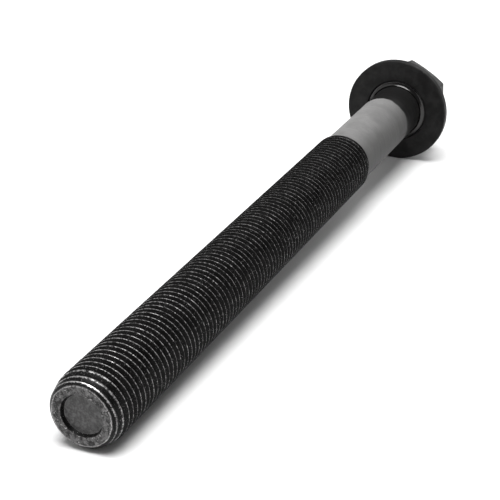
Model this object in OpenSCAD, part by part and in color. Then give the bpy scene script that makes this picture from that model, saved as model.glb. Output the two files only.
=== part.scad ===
// Hex bolt with one plain washer, lying along +X.
// Origin: centre of the washer's front face, the plane that meets the clamped work.
// +X runs along the bolt towards the thread tip, +Z is up.

/* [Thread] */
// Major (crest) diameter
thread_d = 12; // [11.5:0.1:12.5]
// Distance between neighbouring crests
thread_pitch = 1.25; // [1:0.05:1.5]
// Length of the threaded part, tip included
thread_len = 103.5; // [40:0.5:120]

/* [Shank] */
// Diameter of the plain shank, between the thread's root and crest
shank_d = 10.9; // [10.6:0.1:11]
// Length from the head's seat to the tip
bolt_len = 138; // [130:1:200]
// Diameter of the round pilot under the head, which centres the washer
pilot_d = 12.8; // [12.2:0.1:12.8]
// Length of the pilot as a share of the washer's thickness
pilot_share = 0.8; // [0.3:0.1:0.9]

/* [Head] */
// Width across the flats of the hexagon
hex_flats = 15; // [14.5:0.5:19]
// Height of the head, seat included
head_h = 8.75; // [6:0.25:12]
// Height of the round seat under the hexagon
seat_h = 0.4; // [0.2:0.1:0.6]
// Diameter of the seat as a share of the width across flats
seat_share = 0.95; // [0.92:0.01:0.97]
// Diameter of the flat top as a share of the width across flats
top_share = 0.97; // [0.9:0.01:0.98]
// Angle of the chamfer on the head's corners, from the top face
corner_angle = 30; // [15:5:30]
// Diameter of the shallow dish in the top face, at its mouth
dish_d = 10; // [4:0.5:12]
// Depth of that dish
dish_depth = 0.3; // [0.1:0.1:0.6]
// Turn of the hexagon about the bolt's axis
hex_turn = 2; // [0:1:59]

/* [Tip] */
// Diameter of the flat end face
tip_face_d = 9.6; // [8:0.1:9.8]
// Diameter where the steep bevel round the end face stops
bevel_d = 10.7; // [10.5:0.1:11]
// Length of that bevel
bevel_len = 0.5; // [0.3:0.1:1]
// Distance from the end face to the first crest of full height
lead_len = 3; // [2:0.1:5]
// Diameter of the shallow recess in the end face, at its mouth
recess_d = 6.9; // [3:0.1:7]
// Depth of that recess
recess_depth = 0.8; // [0.2:0.1:1]

/* [Washer] */
// Outside diameter
washer_d = 22; // [20:0.5:26]
// Diameter of the hole
washer_bore = 13; // [12.95:0.05:13.5]
// Thickness
washer_h = 1.6; // [1.2:0.1:3]
// Size of the chamfer on each outer edge
rim_chamfer = 0.2; // [0.1:0.05:0.3]
// Size of the chamfer on each edge of the hole
bore_chamfer = 0.15; // [0.1:0.05:0.3]

/* [Hidden] */
$fn = 96;

crest_r = thread_d / 2;
shank_r = shank_d / 2;
bevel_r = bevel_d / 2;
pilot_r = pilot_d / 2;
fillet_r = pilot_r - shank_r;         // the fillet takes up the whole step from pilot to shank
hex_r = hex_flats / 2 / cos(30);      // radius at the corners
seat_x = -washer_h;                   // plane where the head presses on the washer
pilot_x = seat_x + pilot_share * washer_h;
tip_x = seat_x + bolt_len;
thread_x = tip_x - thread_len;        // where the thread meets the shank

// Metric profile: 60 degree flanks, crests flattened to an eighth of the pitch
crest_flat = thread_pitch / 8;
groove_depth = 0.6134 * thread_pitch;
groove_mouth = thread_pitch - crest_flat;
flank_run = groove_depth * tan(30);
root_r = crest_r - groove_depth;
groove_count = floor((thread_len - bevel_len - crest_flat) / thread_pitch);

fillet_steps = 8;
dish_slope = 2;                       // run of the walls of the dish and recess, per unit of depth
recess_slope = 0.35;
overlap = 0.01;

// Turns a shape built along +Z to lie along +X, from x = at
module along_x(at) {
    translate([at, 0, 0]) rotate([0, 90, 0]) children();
}

// Crest radius at x: full along the thread, lower over the lead at the tip
function crest_at(x) =
    let (full = (tip_x - x - bevel_len) / (lead_len - bevel_len))
    full >= 1 ? crest_r : bevel_r + (crest_r - bevel_r) * full;

// One groove as four outline points [radius, x], from the head side to the tip side
function groove(x) = [
    [crest_at(x), x],
    [root_r, x + flank_run],
    [root_r, x + groove_mouth - flank_run],
    [crest_at(x + groove_mouth), x + groove_mouth]
];

// Concave quarter circle from the pilot's end to the shank
function fillet(x) = [
    for (i = [0:fillet_steps])
        let (a = 90 * i / fillet_steps)
        [shank_r + fillet_r * (1 - sin(a)), x + fillet_r * (1 - cos(a))]
];

// Shank, thread and tip as one turned outline
module turned_body() {
    outline = concat(
        [[0, seat_x - seat_h], [pilot_r, seat_x - seat_h]],
        fillet(pilot_x),
        [[shank_r, thread_x]],
        [for (i = [0:groove_count - 1], p = groove(thread_x + crest_flat + i * thread_pitch)) p],
        [[bevel_r, tip_x - bevel_len], [tip_face_d / 2, tip_x], [recess_d / 2, tip_x]],
        [[recess_d / 2 - recess_slope * recess_depth, tip_x - recess_depth]],
        [[0, tip_x - recess_depth]]
    );
    rotate_extrude() polygon(outline);
}

// Hexagon with its top corners turned off and a shallow dish, standing on its round seat
module head() {
    h = head_h - seat_h;
    top_r = hex_flats / 2 * top_share;
    drop = (hex_r - top_r) * tan(corner_angle);
    intersection() {
        rotate([0, 0, hex_turn]) cylinder(r = hex_r, h = h, $fn = 6);
        rotate_extrude() polygon([
            [0, 0], [hex_r + overlap, 0], [hex_r + overlap, h - drop], [top_r, h],
            [dish_d / 2, h], [dish_d / 2 - dish_slope * dish_depth, h - dish_depth],
            [0, h - dish_depth]
        ]);
    }
    translate([0, 0, -seat_h]) cylinder(r = hex_flats / 2 * seat_share, h = seat_h + overlap);
}

module bolt() {
    color("dimgray") union() {
        along_x(0) turned_body();
        along_x(seat_x - seat_h) rotate([180, 0, 0]) head();
    }
}

module washer() {
    in_r = washer_bore / 2;
    out_r = washer_d / 2;
    color("darkslategray") along_x(seat_x) rotate_extrude() polygon([
        [in_r + bore_chamfer, 0], [out_r - rim_chamfer, 0],
        [out_r, rim_chamfer], [out_r, washer_h - rim_chamfer],
        [out_r - rim_chamfer, washer_h], [in_r + bore_chamfer, washer_h],
        [in_r, washer_h - bore_chamfer], [in_r, bore_chamfer]
    ]);
}

bolt();
washer();
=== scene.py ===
"""Hex bolt with a loose washer, lying on a pale floor.

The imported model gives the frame: the bolt lies along +X with its washer's front face at x = 0.
Both pieces are rebuilt here as fine meshes, the thread as one true helix, and given their steels.
"""

import math

import bpy
from mathutils import Matrix, Vector, noise


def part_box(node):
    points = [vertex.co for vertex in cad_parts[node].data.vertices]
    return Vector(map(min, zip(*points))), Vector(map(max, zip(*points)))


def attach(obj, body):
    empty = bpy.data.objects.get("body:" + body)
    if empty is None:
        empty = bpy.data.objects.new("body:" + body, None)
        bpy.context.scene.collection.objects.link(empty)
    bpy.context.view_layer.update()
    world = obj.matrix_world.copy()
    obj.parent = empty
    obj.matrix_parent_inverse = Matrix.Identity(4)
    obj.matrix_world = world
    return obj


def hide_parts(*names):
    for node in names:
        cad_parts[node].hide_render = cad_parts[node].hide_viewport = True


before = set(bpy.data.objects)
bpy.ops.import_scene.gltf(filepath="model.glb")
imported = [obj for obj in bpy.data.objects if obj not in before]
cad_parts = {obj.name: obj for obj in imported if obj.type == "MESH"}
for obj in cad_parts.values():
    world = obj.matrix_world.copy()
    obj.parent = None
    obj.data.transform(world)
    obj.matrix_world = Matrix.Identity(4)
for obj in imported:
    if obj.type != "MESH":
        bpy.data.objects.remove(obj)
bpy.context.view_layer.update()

MM = 0.001

# ---------------------------------------------------------------- sizes, in metres, row frame
bolt_low, bolt_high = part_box("bolt")
washer_low, washer_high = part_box("washer")

TOP_X = bolt_low.x                       # top face of the head
TIP_X = bolt_high.x                      # end face of the thread
SEAT_X = washer_low.x                    # where the head presses on the washer
FACE_X = washer_high.x                   # front face of the washer
RIM_R = washer_high.z                    # outer radius of the washer

CREST_R = 6.0 * MM
PITCH = 1.25 * MM
GROOVE = 0.6134 * PITCH
SHANK_R = 5.45 * MM
THREAD_LEN = 103.5 * MM
PILOT_R = 6.4 * MM
PILOT_LEN = 1.28 * MM
FILLET_R = PILOT_R - SHANK_R
NECK_END_X = 8.7 * MM                    # the painted shade on the neck next to the washer stops here and the bare shank starts

HEX_FLATS = 15.0 * MM
HEX_TURN = math.radians(88)              # direction of one corner, from +Y towards +Z
HEX_TOP_R = 0.97 * HEX_FLATS / 2
CORNER_ANGLE = math.radians(30)
CORNER_ROUND = 0.4 * MM
SEAT_R = 0.95 * HEX_FLATS / 2
SEAT_H = 0.4 * MM
DISH_R = 5.0 * MM
DISH_FLOOR_R = 4.4 * MM
DISH_DEPTH = 0.3 * MM

TIP_FACE_R = 4.8 * MM
BEVEL_R = 5.35 * MM
BEVEL_LEN = 0.5 * MM
LEAD_LEN = 3.0 * MM
LEAD_WEAR = 0.85                         # wear of the crests that the lead cuts
BEVEL_WEAR = 0.8                         # mean wear of the tip's bevel
BEVEL_WEAR_SWING = 0.33                  # how much more or less it is on the two sides
BRIGHT_SIDE = math.radians(75)           # the tip's bevel is worn most here, from +Y towards +Z
WORN_SIDE = math.radians(105)            # the crests are worn most here, from +Y towards +Z
RECESS_R = 3.45 * MM
RECESS_FLOOR_R = 3.17 * MM
RECESS_DEPTH = 0.8 * MM

WASHER_BORE_R = 6.5 * MM

COLUMNS = 96                             # points round the bolt, 16 to each side of the hexagon
ARC_STEPS = 5                            # steps round each corner of the hexagon
WASHER_COLUMNS = 160


# ---------------------------------------------------------------- meshes
class Skin:
    """A closed mesh made of rings of points about the X axis, from the head's end to the tip's end."""

    def __init__(self):
        self.points, self.wear, self.faces, self.paint = [], [], [], []

    def point(self, x, r, angle, wear=0.0):
        self.points.append((x, r * math.cos(angle), r * math.sin(angle)))
        self.wear.append(wear)
        return len(self.points) - 1

    def ring(self, x, r, angles, wear=0.0):
        return [self.point(x, r, a, wear) for a in angles]

    def face(self, corners, paint):
        """Adds a face without its repeated corners, if at least three are left."""
        kept = [c for i, c in enumerate(corners) if c != corners[i - 1]]
        if len(set(kept)) >= 3:
            self.faces.append(kept)
            self.paint.append(paint)

    def join(self, near, far, paint):
        """Quads between two rings, far being further along the outline."""
        n = len(near)
        for c in range(n):
            d = (c + 1) % n
            self.face([near[c], near[d], far[d], far[c]], paint)

    def cap(self, ring, x, paint, is_start):
        centre = self.point(x, 0.0, 0.0)
        n = len(ring)
        for c in range(n):
            d = (c + 1) % n
            pair = [ring[d], ring[c]] if is_start else [ring[c], ring[d]]
            self.face([centre, *pair], paint)

    def build(self, name, materials):
        mesh = bpy.data.meshes.new(name)
        mesh.from_pydata(self.points, [], self.faces)
        worn = mesh.attributes.new("wear", "FLOAT", "POINT")
        worn.data.foreach_set("value", self.wear)
        for material in materials:
            mesh.materials.append(material)
        mesh.polygons.foreach_set("material_index", self.paint)
        mesh.polygons.foreach_set("use_smooth", [True] * len(self.faces))
        mesh.update()
        piece = bpy.data.objects.new(name, mesh)
        bpy.context.scene.collection.objects.link(piece)
        piece.modifiers.new("weighted_normals", "WEIGHTED_NORMAL").weight = 90
        return piece


def even_angles(count):
    return [math.tau * c / count for c in range(count)]


def softened(corners, steps=4):
    """An outline with its corners rounded off.

    Each corner is (x, r, cut, wear): cut is how far the rounding reaches along both sides,
    and wear is how worn its middle is. Returns points (x, r, wear).
    """
    out = []
    for i, (x, r, cut, wear) in enumerate(corners):
        if cut == 0 or i in (0, len(corners) - 1):
            out.append((x, r, wear))
            continue
        here = Vector((x, r))
        before = here + (Vector(corners[i - 1][:2]) - here).normalized() * cut
        after = here + (Vector(corners[i + 1][:2]) - here).normalized() * cut
        for s in range(steps + 1):
            t = s / steps
            spot = before * (1 - t) ** 2 + here * 2 * t * (1 - t) + after * t ** 2
            out.append((spot.x, spot.y, wear * 4 * t * (1 - t)))
    return out


def hexagon():
    """Polar points (angle, radius) round a hexagon with rounded corners, COLUMNS of them."""
    corner_r = HEX_FLATS / 2 / math.cos(math.pi / 6)
    centre_r = corner_r - CORNER_ROUND / math.cos(math.pi / 6)
    flat_steps = COLUMNS // 6 - ARC_STEPS
    spots = []
    for side in range(6):
        mid = HEX_TURN + side * math.pi / 3
        centre = Vector((centre_r * math.cos(mid), centre_r * math.sin(mid)))
        for s in range(ARC_STEPS + 1):
            turn = mid + math.radians(-30 + 60 * s / ARC_STEPS)
            spots.append(centre + CORNER_ROUND * Vector((math.cos(turn), math.sin(turn))))
        following = mid + math.pi / 3
        arc_start = centre_r * Vector((math.cos(following), math.sin(following)))
        turn = following - math.radians(30)
        arc_start = arc_start + CORNER_ROUND * Vector((math.cos(turn), math.sin(turn)))
        last = spots[-1]
        for s in range(1, flat_steps):
            spots.append(last.lerp(arc_start, s / flat_steps))
    return [(math.atan2(p.y, p.x), p.length) for p in spots]


def head_outline(side_r):
    """The head's outline in one direction, where its side is side_r from the axis."""
    drop = max(side_r - HEX_TOP_R, 0.0) * math.tan(CORNER_ANGLE)
    under_x = SEAT_X - SEAT_H
    return softened([
        (TOP_X + DISH_DEPTH, DISH_FLOOR_R - 0.6 * MM, 0, 0),
        (TOP_X + DISH_DEPTH, DISH_FLOOR_R, 0.35 * MM, 0),
        (TOP_X, DISH_R, 0.3 * MM, 0.3),
        (TOP_X, HEX_TOP_R, 0.1 * MM, 0.8),
        (TOP_X + drop, side_r, 0.1 * MM, 0.9),
        (under_x, side_r, 0.12 * MM, 0.5),
        (under_x, SEAT_R + 0.2 * MM, 0, 0),
    ])


def add_head(skin, paint, fillet_paint):
    """Head from its dished top to the shank's fillet; returns the last ring."""
    sides = hexagon()
    columns = [head_outline(r) for _, r in sides]
    rings = []
    for row in range(len(columns[0])):
        ring = []
        for (angle, _), column in zip(sides, columns):
            x, r, wear = column[row]
            ring.append(skin.point(x, r, angle, wear))
        rings.append(ring)
    skin.cap(rings[0], TOP_X + DISH_DEPTH, paint, True)

    angles = [HEX_TURN - math.radians(30) + a for a in even_angles(COLUMNS)]
    seat = softened([
        (SEAT_X - SEAT_H, SEAT_R + 0.1 * MM, 0, 0),
        (SEAT_X - SEAT_H, SEAT_R, 0.05 * MM, 0),
        (SEAT_X, SEAT_R, 0.1 * MM, 0.6),
        (SEAT_X, PILOT_R, 0, 0),
        (SEAT_X + PILOT_LEN, PILOT_R, 0.06 * MM, 0),
        (SEAT_X + PILOT_LEN, PILOT_R - 0.07 * MM, 0, 0),
    ])
    fillet_steps = 12
    for s in range(2, fillet_steps + 1):
        a = math.pi / 2 * s / fillet_steps
        x = SEAT_X + PILOT_LEN + FILLET_R * (1 - math.cos(a))
        seat.append((x, SHANK_R + FILLET_R * (1 - math.sin(a)), 0))
    rings += [skin.ring(x, r, angles, wear) for x, r, wear in seat]
    fillet_start = len(rings) - fillet_steps
    for i, (near, far) in enumerate(zip(rings, rings[1:])):
        skin.join(near, far, paint if i < fillet_start else fillet_paint)
    return rings[-1], angles


def add_shank(skin, first, angles, paint):
    """Plain shank from the fillet to the thread; returns the ring where the thread starts."""
    start_x, end_x = SEAT_X + PILOT_LEN + FILLET_R, TIP_X - THREAD_LEN
    steps = 12
    near = first
    for s in range(1, steps + 1):
        far = skin.ring(start_x + (end_x - start_x) * s / steps, SHANK_R, angles)
        skin.join(near, far, paint)
        near = far
    return near


def thread_profile():
    """One pitch of the metric profile as (offset, radius, wear), from groove floor to groove floor."""
    half_crest, half_floor = PITCH / 16, PITCH / 12
    root_r = CREST_R - GROOVE
    half = PITCH / 2
    lines = softened([
        (0, root_r, 0, 0),
        (half_floor, root_r, 0.08 * MM, 0),
        (half - half_crest, CREST_R, 0.07 * MM, 1),
        (half + half_crest, CREST_R, 0.07 * MM, 1),
        (PITCH - half_floor, root_r, 0.08 * MM, 0),
        (PITCH, root_r, 0, 0),
    ], steps=3)
    return lines[:-1]


def lead_radius(x):
    """Largest radius the thread may have at x, which falls over the lead at the tip."""
    full = (TIP_X - x - BEVEL_LEN) / (LEAD_LEN - BEVEL_LEN)
    return BEVEL_R + (CREST_R - BEVEL_R) * min(max(full, 0.0), 1.0)


def smooth_step(t):
    t = min(max(t, 0.0), 1.0)
    return t * t * (3 - 2 * t)


def thread_radius(x, r, angle):
    """Profile radius r, run out at the shank, cut by the lead at the tip, and unevenly rolled."""
    into = (x - (TIP_X - THREAD_LEN)) / PITCH
    r = SHANK_R + (r - SHANK_R) * smooth_step(into / 0.8)
    lead = lead_radius(x)
    left = (TIP_X - BEVEL_LEN - x) / (0.5 * PITCH)
    floor_r = lead + (r - lead) * smooth_step(left)
    r = min(floor_r if r < lead else lead, lead)
    spot = Vector((x, r * math.cos(angle), r * math.sin(angle)))
    uneven = 0.5 + 0.5 * noise.noise(spot / (0.9 * MM))
    return r - 0.02 * MM * uneven * smooth_step((r - SHANK_R) / (CREST_R - SHANK_R))


def add_thread(skin, first, angles, paint):
    """Right-handed helix between two rings: each profile line winds on by one pitch a turn.

    Points that would lie before the first ring or past the last one are those rings' own points.
    """
    start_x, end_x = TIP_X - THREAD_LEN, TIP_X - BEVEL_LEN
    last = []
    for a in angles:
        bevel_wear = BEVEL_WEAR + BEVEL_WEAR_SWING * math.cos(a - BRIGHT_SIDE)
        last.append(skin.point(end_x, BEVEL_R, a, bevel_wear))
    lines = thread_profile()
    origin_x = start_x - 2 * PITCH
    turns = math.ceil((end_x - origin_x) / PITCH) + 2
    made = {}

    def spot(m, j):
        if j == len(lines):
            m, j = m + COLUMNS, 0
        if (m, j) not in made:
            column = m % COLUMNS
            offset, r, wear = lines[j]
            x = origin_x + PITCH * m / COLUMNS + offset
            if x <= start_x:
                made[m, j] = first[column]
            elif x >= end_x:
                made[m, j] = last[column]
            else:
                angle = angles[column]
                along = (x - start_x) / (end_x - start_x)
                worn = wear * smooth_step((x - start_x) / PITCH) * (0.55 + 0.41 * along)
                worn *= 0.93 + 0.12 * math.cos(angle - WORN_SIDE)
                if r > lead_radius(x):
                    worn = LEAD_WEAR
                made[m, j] = skin.point(x, thread_radius(x, r, angle), angle, worn)
        return made[m, j]

    for m in range(COLUMNS * turns):
        for j in range(len(lines)):
            skin.face([spot(m, j), spot(m + 1, j), spot(m + 1, j + 1), spot(m, j + 1)], paint)
    return last


def uneven_edge(r, angle):
    """How far the cropped end's edges stray from a true circle of radius r."""
    spot = Vector((r / MM, 2.2 * math.cos(angle), 2.2 * math.sin(angle)))
    fine = Vector((r / MM, 9 * math.cos(angle), 9 * math.sin(angle)))
    return MM * (0.1 * noise.noise(spot) + 0.05 * noise.noise(fine))


def add_tip(skin, first, angles, coat_paint, face_paint):
    """Coated bevel, end face and shallow recess whose wall is dark, in the same steel as the bevel."""
    outline = softened([
        (TIP_X - BEVEL_LEN, BEVEL_R, 0, 0.2),
        (TIP_X, TIP_FACE_R, 0.18 * MM, 1),
        (TIP_X, RECESS_R, 0.12 * MM, 0.7),
        (TIP_X - RECESS_DEPTH, RECESS_FLOOR_R, 0.12 * MM, 0),
        (TIP_X - RECESS_DEPTH, RECESS_FLOOR_R - 0.8 * MM, 0, 0),
    ])
    near = first
    for i, (x, r, wear) in enumerate(outline[1:]):
        far = [skin.point(x, r + uneven_edge(r, a), a, wear) for a in angles]
        is_face = abs(x - TIP_X) < 0.3 * MM or r < RECESS_FLOOR_R
        skin.join(near, far, face_paint if i > 0 and is_face else coat_paint)
        near = far
    skin.cap(near, TIP_X - RECESS_DEPTH, face_paint, False)


def make_bolt(black, shank, thread, tip):
    skin = Skin()
    ring, angles = add_head(skin, 0, 1)
    ring = add_shank(skin, ring, angles, 1)
    ring = add_thread(skin, ring, angles, 2)
    add_tip(skin, ring, angles, 2, 3)
    return skin.build("bolt_steel", [black, shank, thread, tip])


def make_washer(coat):
    """Flat punched washer: the edges of its front face are rounder than those of its back."""
    skin = Skin()
    angles = even_angles(WASHER_COLUMNS)
    front, back = 0.3 * MM, 0.15 * MM
    middle = (SEAT_X + FACE_X) / 2
    outline = softened([
        (middle, WASHER_BORE_R, 0, 0),
        (SEAT_X, WASHER_BORE_R, back, 0.6),
        (SEAT_X, RIM_R, back, 0.6),
        (FACE_X, RIM_R, front, 0.8),
        (FACE_X, WASHER_BORE_R, front, 0.8),
        (middle, WASHER_BORE_R, 0, 0),
    ], steps=5)
    rings = [skin.ring(x, r, angles, wear) for x, r, wear in outline[:-1]]
    for near, far in zip(rings, rings[1:] + rings[:1]):
        skin.join(near, far, 0)
    return skin.build("washer_steel", [coat])


# ---------------------------------------------------------------- materials
COAT_SPECULAR = 0.10                     # phosphate reflects less than a smooth coating
SHADE_Y, SHADE_Z = 0.75, -0.66           # the direction in which the bare shank is toned darker
SHADE_MOST = 0.75

SOCKETS = {"color": "Base Color", "specular_ior_level": "Specular IOR Level"}


class Nodes:
    """Short calls for building one material's node tree."""

    def __init__(self, name):
        self.material = bpy.data.materials.new(name)
        self.material.use_nodes = True
        self.tree = self.material.node_tree
        self.shader = self.tree.nodes["Principled BSDF"]
        self.place = self.add("ShaderNodeTexCoord").outputs["Object"]

    def add(self, kind, **values):
        node = self.tree.nodes.new(kind)
        for key, value in values.items():
            setattr(node, key, value)
        return node

    def link(self, source, target):
        self.tree.links.new(source, target)

    def put(self, node, key, value):
        """Sets an input to a number, colour or another node's output."""
        if isinstance(value, bpy.types.NodeSocket):
            self.link(value, node.inputs[key])
        else:
            node.inputs[key].default_value = value

    def scaled(self, x, y, z, source=None):
        node = self.add("ShaderNodeVectorMath", operation="MULTIPLY")
        self.put(node, 0, source or self.place)
        node.inputs[1].default_value = (x, y, z)
        return node.outputs["Vector"]

    def noise(self, scale, detail=4.0, rough=0.55, at=None):
        node = self.add("ShaderNodeTexNoise")
        self.put(node, "Vector", at or self.place)
        self.put(node, "Scale", scale)
        self.put(node, "Detail", detail)
        self.put(node, "Roughness", rough)
        return node.outputs["Fac"]

    def math(self, operation, a, b=0.0, clamp=False):
        node = self.add("ShaderNodeMath", operation=operation, use_clamp=clamp)
        self.put(node, 0, a)
        self.put(node, 1, b)
        return node.outputs[0]

    def ramp(self, value, low, high, to_low=0.0, to_high=1.0):
        """Takes value from the range low-high to the range to_low-to_high, smoothly, and clamps it."""
        node = self.add("ShaderNodeMapRange", interpolation_type="SMOOTHSTEP")
        for key, part in zip(range(5), (value, low, high, to_low, to_high)):
            self.put(node, key, part)
        return node.outputs["Result"]

    def mix(self, amount, a, b):
        """Mix of two colours."""
        node = self.add("ShaderNodeMix", data_type="RGBA")
        self.put(node, 0, amount)
        for key, colour in ((6, a), (7, b)):
            self.put(node, key, colour if isinstance(colour, bpy.types.NodeSocket) else (*colour, 1.0))
        return node.outputs[2]

    def part(self, axis):
        node = self.add("ShaderNodeSeparateXYZ")
        self.link(self.place, node.inputs[0])
        return node.outputs[axis]

    def radius(self):
        """Distance from the X axis."""
        flat = self.scaled(0, 1, 1)
        node = self.add("ShaderNodeVectorMath", operation="LENGTH")
        self.put(node, 0, flat)
        return node.outputs["Value"]

    def attribute(self, name):
        return self.add("ShaderNodeAttribute", attribute_name=name).outputs["Fac"]

    def bump(self, height, strength, distance, under=None):
        node = self.add("ShaderNodeBump")
        self.put(node, "Strength", strength)
        self.put(node, "Distance", distance)
        self.put(node, "Height", height)
        if under:
            self.put(node, "Normal", under)
        return node.outputs["Normal"]

    def set(self, **values):
        for key, value in values.items():
            name = SOCKETS.get(key, key.title())
            if isinstance(value, tuple) and len(value) == 3:
                value = (*value, 1.0)
            self.put(self.shader, name, value)
        return self.material


def grain(n, strength=0.25):
    """Fine phosphate grain with a coarser unevenness under it."""
    coarse = n.bump(n.noise(1400, 4, 0.6), strength * 0.8, 0.05 * MM)
    return n.bump(n.noise(6500, 3, 0.6), strength, 0.02 * MM, coarse)


def black_steel(name, coat, scuffed, wear_from, wear_to, rough, specks=0.0, grit=0.25):
    """Black coating over steel that shows, brighter, where the wear attribute and noise say so."""
    n = Nodes(name)
    blotch = n.ramp(n.noise(420, 5, 0.6), 0.35, 0.7)
    dark_tone = n.mix(blotch, coat, scuffed)
    spotty = n.math("ADD", n.attribute("wear"), n.math("MULTIPLY", n.noise(2600, 4, 0.75), 1.2))
    worn = n.ramp(spotty, wear_from, wear_to)
    chips = n.ramp(n.noise(5200, 3, 0.75), 0.64, 0.7, 0.0, specks)
    worn = n.math("MAXIMUM", worn, chips)
    steel = n.mix(n.noise(2500, 2), (0.45, 0.44, 0.44), (0.75, 0.74, 0.74))
    return n.set(
        color=n.mix(worn, dark_tone, steel),
        metallic=n.math("MULTIPLY", worn, 0.95),
        roughness=n.math("ADD", n.ramp(n.noise(700, 3), 0.3, 0.7, rough, rough + 0.12),
                         n.math("MULTIPLY", worn, -0.04)),
        specular_ior_level=COAT_SPECULAR,
        normal=grain(n, grit),
    )


def shank_steel():
    """Bare ground steel, with painted shade darkening the neck next to the head, and a burnished fillet.

    The bare steel is toned darker towards one side. That is shading put into the colour, not a stain.
    """
    n = Nodes("bare_shank_steel")
    marks = n.noise(1.0, 3, 0.7, n.scaled(9000, 260, 260))
    streak = n.noise(1.0, 4, 0.6, n.scaled(1400, 90, 90))
    stain = n.ramp(n.noise(260, 5, 0.6), 0.35, 0.75)
    bare = n.mix(stain, (0.24, 0.238, 0.236), (0.15, 0.149, 0.148))
    bare = n.mix(n.ramp(marks, 0.3, 0.7), bare, (0.18, 0.178, 0.177))
    aside = n.math("ADD", n.math("MULTIPLY", n.part("Y"), SHADE_Y), n.math("MULTIPLY", n.part("Z"), SHADE_Z))
    shade = n.ramp(aside, -0.9 * SHANK_R, 0.7 * SHANK_R, 0.0, SHADE_MOST)
    bare = n.mix(shade, bare, (0.04, 0.0395, 0.039))
    # painted shade: the neck is painted near-black up to NECK_END_X and made glossier there
    edge = n.math("ADD", n.part("X"), n.math("MULTIPLY", n.noise(500, 5), 1.2 * MM))
    dark_tone = n.ramp(edge, NECK_END_X + 0.2 * MM, NECK_END_X + 0.8 * MM, 1.0, 0.0)
    fillet_end_x = SEAT_X + PILOT_LEN + FILLET_R
    rolled = n.ramp(n.part("X"), fillet_end_x - 0.3 * FILLET_R, fillet_end_x, 1.0, 0.0)
    # near-black colour of the painted shade on the neck
    color = n.mix(dark_tone, bare, (0.010, 0.0098, 0.0098))
    rough = n.math("ADD", n.ramp(streak, 0.3, 0.7, 0.56, 0.66), n.math("MULTIPLY", dark_tone, -0.18))
    return n.set(
        color=n.mix(rolled, color, (0.045, 0.044, 0.044)),
        metallic=rolled,
        roughness=n.math("SUBTRACT", rough, n.math("MULTIPLY", rolled, 0.22)),
        specular_ior_level=COAT_SPECULAR,
        normal=n.bump(marks, 0.18, 0.01 * MM),
    )


def tip_steel():
    """Dull grey end, paler and scuffed on its rim, darker on the recess's floor."""
    n = Nodes("tip_grey_steel")
    blotch = n.ramp(n.noise(1500, 6, 0.75), 0.4, 0.62)
    dull = n.mix(blotch, (0.03, 0.0295, 0.0295), (0.14, 0.138, 0.138))
    ring = n.ramp(n.radius(), RECESS_FLOOR_R, RECESS_R)
    dull = n.mix(ring, n.mix(blotch, (0.06, 0.059, 0.059), (0.11, 0.109, 0.109)), dull)
    spotty = n.math("ADD", n.attribute("wear"), n.math("MULTIPLY", n.noise(3000, 4, 0.75), 1.2))
    chips = n.ramp(n.noise(2600, 3, 0.7), 0.6, 0.68, 0.0, 0.7)
    worn = n.math("MAXIMUM", n.ramp(spotty, 1.28, 1.8), n.math("MULTIPLY", chips, ring))
    pits = n.bump(n.noise(1500, 5, 0.7), 0.7, 0.1 * MM)
    return n.set(
        color=n.mix(worn, dull, (0.5, 0.49, 0.49)),
        metallic=n.ramp(worn, 0.0, 1.0, 0.5, 0.95),
        roughness=n.ramp(n.noise(900, 3), 0.3, 0.7, 0.38, 0.54),
        specular_ior_level=COAT_SPECULAR,
        normal=n.bump(n.noise(7000, 3, 0.6), 0.35, 0.02 * MM, pits),
    )


def floor_white():
    n = Nodes("studio_floor_white")
    tone = n.ramp(n.noise(30, 3), 0.3, 0.7)
    return n.set(color=n.mix(tone, (0.84, 0.84, 0.84), (0.86, 0.86, 0.86)), roughness=0.7)


# ---------------------------------------------------------------- studio
def make_floor(material):
    """A plane that touches the washer's rim and the first full crest of the thread."""
    crest_x = TIP_X - LEAD_LEN
    slope = math.atan2(RIM_R - CREST_R, crest_x - FACE_X)
    half = 3.0
    mesh = bpy.data.meshes.new("floor")
    mesh.from_pydata([(-half, -half, 0), (half, -half, 0), (half, half, 0), (-half, half, 0)],
                     [], [(0, 1, 2, 3)])
    mesh.materials.append(material)
    floor = bpy.data.objects.new("floor", mesh)
    floor.location = (FACE_X, 0, -RIM_R)
    floor.rotation_euler = (0, -slope, 0)
    bpy.context.scene.collection.objects.link(floor)
    return Vector((-math.sin(slope), 0, math.cos(slope)))


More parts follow.
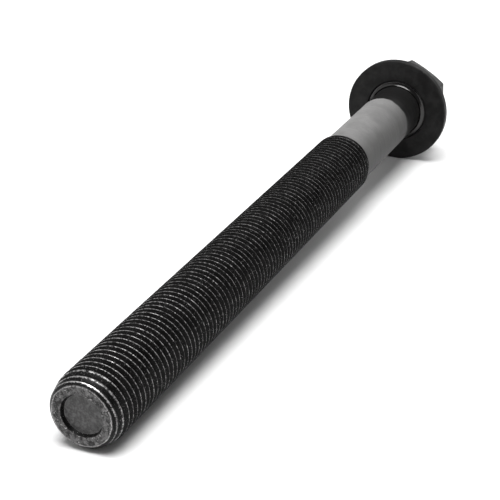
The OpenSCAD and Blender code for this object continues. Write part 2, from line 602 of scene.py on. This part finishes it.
def make_camera(up):
    """Camera in front of the tip, looking along the bolt to its head, level with the floor."""
    place = Vector((0.2838, 0.0928, 0.1059))
    target = Vector((0.07825, 0, 0.00045))
    back = (place - target).normalized()
    right = up.cross(back).normalized()
    turn = Matrix((right, back.cross(right), back)).transposed()
    lens = bpy.data.cameras.new("camera")
    lens.lens = 104
    lens.sensor_width = 36
    lens.clip_start, lens.clip_end = 0.01, 20
    camera = bpy.data.objects.new("camera", lens)
    camera.matrix_world = Matrix.Translation(place) @ turn.to_4x4()
    bpy.context.scene.collection.objects.link(camera)
    bpy.context.scene.camera = camera


def make_light(name, kind, place, target, power, **values):
    data = bpy.data.lights.new(name, kind)
    data.energy = power
    for key, value in values.items():
        setattr(data, key, value)
    light = bpy.data.objects.new(name, data)
    light.location = place
    light.rotation_euler = (Vector(target) - Vector(place)).to_track_quat("-Z", "Y").to_euler()
    bpy.context.scene.collection.objects.link(light)


def make_studio():
    middle = (0.06, 0, 0)
    make_light("key", "SUN", (0.2, 0.04, 1.0), middle, 4.3, angle=math.radians(42))
    make_light("fill", "SUN", (0.45, -0.8, 0.45), middle, 0.6, angle=math.radians(60))
    make_light("backdrop", "AREA", (-0.75, 0.2, 0.47), middle, 1.8, size=0.4)
    world = bpy.data.worlds.new("studio")
    world.use_nodes = True
    world.node_tree.nodes["Background"].inputs["Color"].default_value = (1, 1, 1, 1)
    world.node_tree.nodes["Background"].inputs["Strength"].default_value = 0.2
    bpy.context.scene.world = world
    bpy.context.scene.view_settings.view_transform = "Standard"


# ---------------------------------------------------------------- assembly
black = black_steel("black_head_steel", (0.02, 0.0196, 0.0196), (0.05, 0.049, 0.049),
                    1.3, 1.9, 0.38, 0.3)
thread = black_steel("black_thread_steel", (0.002, 0.0019, 0.0019), (0.006, 0.0058, 0.0058),
                     1.3, 1.72, 0.36, 0.5, 0.35)
bolt = make_bolt(black, shank_steel(), thread, tip_steel())
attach(bolt, "bolt")
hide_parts("bolt")

washer = make_washer(
    black_steel("black_washer_steel", (0.010, 0.0098, 0.0098), (0.02, 0.0196, 0.0196),
                1.45, 2.1, 0.42)
)
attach(washer, "washer")
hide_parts("washer")

floor_up = make_floor(floor_white())
make_camera(floor_up)
make_studio()
